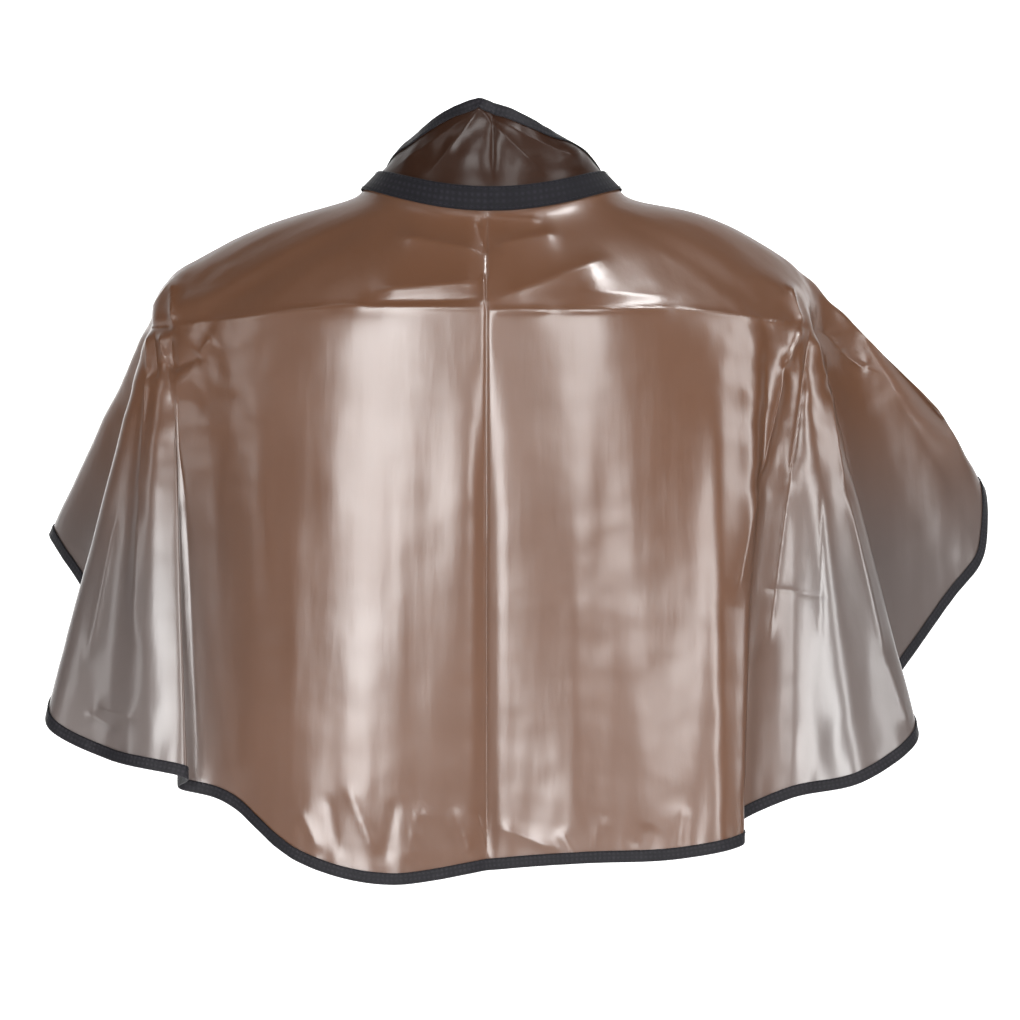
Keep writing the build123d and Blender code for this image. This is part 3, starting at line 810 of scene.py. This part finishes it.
def film_colours(add, place, tint, smoke):
    """Colour of the film's surface, colour of the light through it, and roughness, both colours with a
    painted backlight: greyer and lighter low at the sides.
    """
    cloud = add("ShaderNodeTexNoise", Vector=place, Scale=9.0, Detail=4.0)
    darker, lighter = [(*[c * share for c in tint], 1) for share in (0.85, 1.15)]
    colour = add("ShaderNodeMix", set_data_type="RGBA", i0=cloud.outputs["Fac"], i6=darker, i7=lighter)
    spot = add("ShaderNodeSeparateXYZ", Vector=place)
    across = add("ShaderNodeMath", set_operation="ABSOLUTE", i0=spot.outputs["X"])
    # painted backlight: a mask low at both sides, where the film is painted greyer and lighter as if lit from
    # behind
    side = add("ShaderNodeMapRange", set_interpolation_type="SMOOTHSTEP", Value=across.outputs[0],
               i1=PAINTED_BACKLIGHT_ACROSS[0], i2=PAINTED_BACKLIGHT_ACROSS[1], i3=0.0, i4=PAINTED_BACKLIGHT_SHARE)
    low = add("ShaderNodeMapRange", set_interpolation_type="SMOOTHSTEP", Value=spot.outputs["Z"],
              i1=PAINTED_BACKLIGHT_HEIGHTS[0], i2=PAINTED_BACKLIGHT_HEIGHTS[1])
    flute = add("ShaderNodeMath", set_operation="MULTIPLY", i0=side.outputs[0], i1=low.outputs[0])
    # the painted backlight goes into the surface colour and into the colour of the light through the film
    surface = add("ShaderNodeMix", set_data_type="RGBA", i0=flute.outputs[0],
                  i6=colour.outputs[2], i7=(*FLUTE_PAINTED_BACKLIGHT_TINT, 1))
    haze_and_painted_backlight = add("ShaderNodeMix", set_data_type="RGBA", i0=flute.outputs[0],
               i6=(*smoke, 1), i7=(*FLUTE_PAINTED_BACKLIGHT_SMOKE, 1))
    rough = add("ShaderNodeMapRange", Value=cloud.outputs["Fac"], i1=0.3, i2=0.7, i3=0.28, i4=0.36)
    return surface.outputs[2], haze_and_painted_backlight.outputs[2], rough.outputs[0]


def film_grain(add, place):
    """Fine grain and long soft ripples, as a direction square to the surface."""
    grain = add("ShaderNodeTexNoise", Vector=place, Scale=900.0, Detail=2.0)
    ripple_map = add("ShaderNodeMapping", Vector=place, Scale=(70.0, 70.0, 9.0))
    ripple = add("ShaderNodeTexNoise", Vector=ripple_map.outputs[0], Scale=1.0, Detail=3.0)
    soft = add("ShaderNodeBump", Height=ripple.outputs["Fac"], Strength=0.25, Distance=0.0012)
    bump = add("ShaderNodeBump", Height=grain.outputs["Fac"], Strength=0.08, Distance=0.0002,
               Normal=soft.outputs["Normal"])
    return bump.outputs["Normal"]


def film_material(name, tint, smoke, gloss):
    """Frosted, glossy tinted film that glows with light from behind and is barely see-through."""
    add = new_material(name)
    place = add("ShaderNodeTexCoord").outputs["Object"]
    colour, haze_and_painted_backlight, rough = film_colours(add, place, tint, smoke)
    grain = film_grain(add, place)
    surface = add("ShaderNodeBsdfPrincipled", i0=colour, Roughness=rough, Normal=grain, IOR=1.5)
    surface.inputs["Specular IOR Level"].default_value = gloss
    surface.inputs["Coat Weight"].default_value = gloss * 0.4
    surface.inputs["Coat Roughness"].default_value = 0.18
    glow = add("ShaderNodeBsdfTranslucent", Color=haze_and_painted_backlight, Normal=grain)
    see = add("ShaderNodeBsdfTransparent", Color=(*[min(c * CLEAR_TINT, 1) for c in smoke], 1))
    body = add("ShaderNodeMixShader", Fac=GLOW_SHARE, i1=surface.outputs[0], i2=glow.outputs[0])
    film = add("ShaderNodeMixShader", Fac=CLEAR_SHARE, i1=body.outputs[0], i2=see.outputs[0])
    add("ShaderNodeOutputMaterial", Surface=film.outputs[0])


def ramp(add, tone, dark, light):
    """Colour that goes from dark to light with a tone."""
    colour = add("ShaderNodeValToRGB", Fac=tone)
    colour.color_ramp.elements[0].color = (*dark, 1)
    colour.color_ramp.elements[1].color = (*light, 1)
    return colour.outputs[0]


def woven_material(name, dark, light, thread_mm, roughness, sheen):
    """Black woven tape: crossed ribs of thread along and across the tape's own run.

    A pile has no run, so it shows one even tone.
    """
    add = new_material(name)
    run = add("ShaderNodeUVMap", set_uv_map="run")
    scale = 1 / (thread_mm * MM) / 20
    warp = add("ShaderNodeTexWave", Vector=run.outputs[0], Scale=scale, set_bands_direction="X")
    weft = add("ShaderNodeTexWave", Vector=run.outputs[0], Scale=scale, set_bands_direction="Y")
    cross = add("ShaderNodeMath", set_operation="MULTIPLY", i0=warp.outputs["Fac"], i1=weft.outputs["Fac"])
    fuzz = add("ShaderNodeTexNoise", Vector=run.outputs[0], Scale=1500.0, Detail=3.0)
    wear = add("ShaderNodeTexNoise", Vector=run.outputs[0], Scale=60.0, Detail=4.0)
    half_fuzz = add("ShaderNodeMath", set_operation="MULTIPLY", i0=fuzz.outputs["Fac"], i1=0.5)
    weave = add("ShaderNodeMath", set_operation="ADD", i0=cross.outputs[0], i1=half_fuzz.outputs[0])
    tone = add("ShaderNodeMath", set_operation="MULTIPLY", i0=weave.outputs[0], i1=wear.outputs["Fac"])
    colour = ramp(add, tone.outputs[0], dark, light)
    bump = add("ShaderNodeBump", Height=weave.outputs[0], Strength=0.6, Distance=0.00025)
    surface = add("ShaderNodeBsdfPrincipled", i0=colour, Roughness=roughness, Normal=bump.outputs["Normal"])
    surface.inputs["Specular IOR Level"].default_value = 0.15
    surface.inputs["Sheen Weight"].default_value = sheen
    surface.inputs["Sheen Roughness"].default_value = 0.4
    add("ShaderNodeOutputMaterial", Surface=surface.outputs[0])


def thread_material(name):
    """Spun sewing thread: twisted strands with a slight shine."""
    add = new_material(name)
    place = add("ShaderNodeTexCoord")
    twist = add("ShaderNodeTexNoise", Vector=place.outputs["Object"], Scale=2600.0, Detail=2.0)
    colour = ramp(add, twist.outputs["Fac"], BLACK, THREAD_LIGHT)
    bump = add("ShaderNodeBump", Height=twist.outputs["Fac"], Strength=0.5, Distance=0.0001)
    surface = add("ShaderNodeBsdfPrincipled", i0=colour, Roughness=0.7, Normal=bump.outputs["Normal"])
    surface.inputs["Specular IOR Level"].default_value = 0.15
    add("ShaderNodeOutputMaterial", Surface=surface.outputs[0])


def dress(piece, look, body, *nodes):
    """Gives a piece its material and slot, the body it rides and the CAD nodes that it stands for."""
    piece.data.materials.append(LOOKS[look])
    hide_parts(*nodes)
    if body:
        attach(piece, body)
    return piece


# ---------------- studio
def area_light(name, place, aim, size, power):
    """Rectangular softbox facing a point."""
    light = bpy.data.lights.new(name, "AREA")
    light.shape = "RECTANGLE"
    light.size, light.size_y = size
    light.energy = power
    holder = bpy.data.objects.new(name, light)
    holder.location = place
    holder.rotation_mode = "QUATERNION"
    holder.rotation_quaternion = (Vector(aim) - Vector(place)).to_track_quat("-Z", "Y")
    bpy.context.scene.collection.objects.link(holder)


def pale_surface(name, points, glow):
    """Staged matt sheet with a glow of its own, through a grid of points in metres."""
    sheet = mesh_object(name, np.array(points) / MM, grid_faces(*np.shape(points)[:2]))
    paper = name + "_paper"
    add = new_material(paper)
    surface = add("ShaderNodeBsdfPrincipled", i0=(0.9, 0.9, 0.9, 1), Roughness=0.9)
    surface.inputs["Emission Color"].default_value = (1, 1, 1, 1)
    surface.inputs["Emission Strength"].default_value = glow
    add("ShaderNodeOutputMaterial", Surface=surface.outputs[0])
    sheet.data.materials.append(LOOKS[paper])
    return sheet


def backdrop():
    """Pale floor that curves up into a wall on the wearer's front side."""
    half_width = BACKDROP_HALF_WIDTH
    centre, level = WALL_PLACE - COVE_RADIUS, FLOOR_LEVEL + COVE_RADIUS
    profile = [(-half_width, FLOOR_LEVEL)]
    for turn in np.radians(np.linspace(0, 90, 13)):
        profile.append((centre + COVE_RADIUS * math.sin(turn), level - COVE_RADIUS * math.cos(turn)))
    profile.append((WALL_PLACE, WALL_TOP))
    places = np.linspace(-half_width, half_width, 9)
    pale_surface("backdrop", [[(x, y, z) for y, z in profile] for x in places], BACKDROP_GLOW)


def surroundings():
    """Pale dome that only the camera sees, so that every other view has a pale background as well."""
    rise, turn = np.radians(np.meshgrid(np.linspace(-85, 89, 9), np.linspace(0, 360, 25), indexing="ij"))
    points = np.stack([np.cos(rise) * np.cos(turn), np.cos(rise) * np.sin(turn), np.sin(rise)], -1)
    dome = pale_surface("surroundings", points * DOME_RADIUS, DOME_GLOW)
    dome.visible_diffuse = False
    dome.visible_glossy = False
    dome.visible_transmission = False
    dome.visible_shadow = False


def camera():
    """Camera at the photo's angle."""
    lens = bpy.data.cameras.new("camera")
    lens.sensor_width = CAMERA_SENSOR
    lens.lens = CAMERA_LENS
    holder = bpy.data.objects.new("camera", lens)
    holder.location = CAMERA_PLACE
    holder.rotation_mode = "QUATERNION"
    holder.rotation_quaternion = (Vector(CAMERA_AIM) - holder.location).to_track_quat("-Z", "Y")
    bpy.context.scene.collection.objects.link(holder)
    bpy.context.scene.camera = holder


def studio():
    """Soft lights, a dim world, a pale backdrop and the camera."""
    scene = bpy.context.scene
    scene.view_settings.view_transform = "Standard"
    scene.world = bpy.data.worlds.new("studio")
    scene.world.use_nodes = True
    background = scene.world.node_tree.nodes["Background"]
    background.inputs["Color"].default_value = (*WORLD_COLOUR, 1)
    background.inputs["Strength"].default_value = WORLD_STRENGTH
    for softbox in SOFTBOXES:
        area_light(*softbox)
    backdrop()
    surroundings()
    camera()


# ---------------- the cape, part by part
def add_body():
    """One-piece film body, with the binding folded round its hem and both front edges."""
    film = film_surface()
    body = dress(sheet_mesh("cape_film_sheet", film), "cape_film", "cape", "cape_panel")
    front_rows = slice(BINDING_FIRST_ROW, -1)
    edge = np.concatenate([film[0, front_rows], film[:, -1], film[-1, front_rows][::-1]])
    inner = np.concatenate([film[1, front_rows], film[:, -1 - INNER_ROWS], film[-2, front_rows][::-1]])
    binding, row = folded_tape("edge_binding_tape", film, edge, inner, 1)
    dress(binding, "binding_tape", "cape", "edge_binding")
    dress(row, "sewing_thread", "cape", "edge_binding_thread")
    return body, binding, row


def add_collar():
    """Film stand collar, with the binding folded over its top edge."""
    film = collar_surface()
    collar = dress(sheet_mesh("collar_film_sheet", film), "collar_film", "cape", "collar_panel")
    binding, row = folded_tape("collar_binding_tape", film, film[:, 0], film[:, INNER_ROWS], -1)
    dress(binding, "binding_tape", "cape", "collar_binding")
    dress(row, "sewing_thread", "cape", "collar_binding_thread")
    return collar, binding, row


def add_neck_band():
    """Woven band over the neck seam, and the two rows of stitches that hold it."""
    dress(neck_band(), "band_tape", "cape", "neck_band")
    for name, height in (("upper", BAND_ABOVE - STITCH_INSET), ("lower", STITCH_INSET - BAND_BELOW)):
        row = band_stitches(f"neck_band_{name}_stitches", height)
        dress(row, "sewing_thread", "cape", f"neck_band_{name}_thread")


def add_loop_strip():
    """Soft half of the touch fastener, sewn on the left end of the neck band."""
    front = LOOP_OFFSET + STRIP_THICKNESS
    strip = touch_strip("loop_strip_pile", LOOP_SPAN, LOOP_OFFSET, *pile(LOOP_SPAN, front, LOOPS))
    dress(strip, "loop_pile", "cape", "loop_strip")
    box = box_stitches("loop_strip_stitches", LOOP_SPAN, front + BOX_LIFT)
    dress(box, "sewing_thread", "cape", "loop_strip_thread")


def add_throat_tab():
    """Free end of the neck tape, made closed; its bend at the sewn root when it is opened is not made here.
    """
    tab = dress(closure_tab(), "band_tape", None, "closure_tab")
    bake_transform(tab)


def add_hook_strip():
    """Hooked half of the touch fastener, sewn inside the tab."""
    strip = touch_strip("hook_strip_pile", HOOK_SPAN, HOOK_OFFSET, *pile(HOOK_SPAN, HOOK_OFFSET, HOOKS))
    dress(strip, "hook_pile", "throat_tab", "hook_strip")
    box = box_stitches("hook_strip_stitches", HOOK_SPAN, TAB_OFFSET + BAND_TAPE + BOX_LIFT)
    dress(box, "sewing_thread", "throat_tab", "hook_strip_thread")


# ---------------- the whole cape
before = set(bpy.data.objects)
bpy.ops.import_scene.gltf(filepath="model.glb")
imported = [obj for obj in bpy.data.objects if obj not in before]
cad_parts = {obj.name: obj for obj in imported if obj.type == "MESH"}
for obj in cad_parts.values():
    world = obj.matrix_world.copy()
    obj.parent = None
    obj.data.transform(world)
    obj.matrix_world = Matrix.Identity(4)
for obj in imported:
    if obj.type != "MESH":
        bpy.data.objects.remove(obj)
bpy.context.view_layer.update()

for name, values in FILMS.items():
    film_material(name, *values)
for name, values in WEAVES.items():
    woven_material(name, *values)
thread_material("sewing_thread")

cape, binding, binding_thread = add_body()
collar_sheet, collar_tape, collar_thread = add_collar()
add_neck_band()
add_loop_strip()
add_throat_tab()
add_hook_strip()

studio()
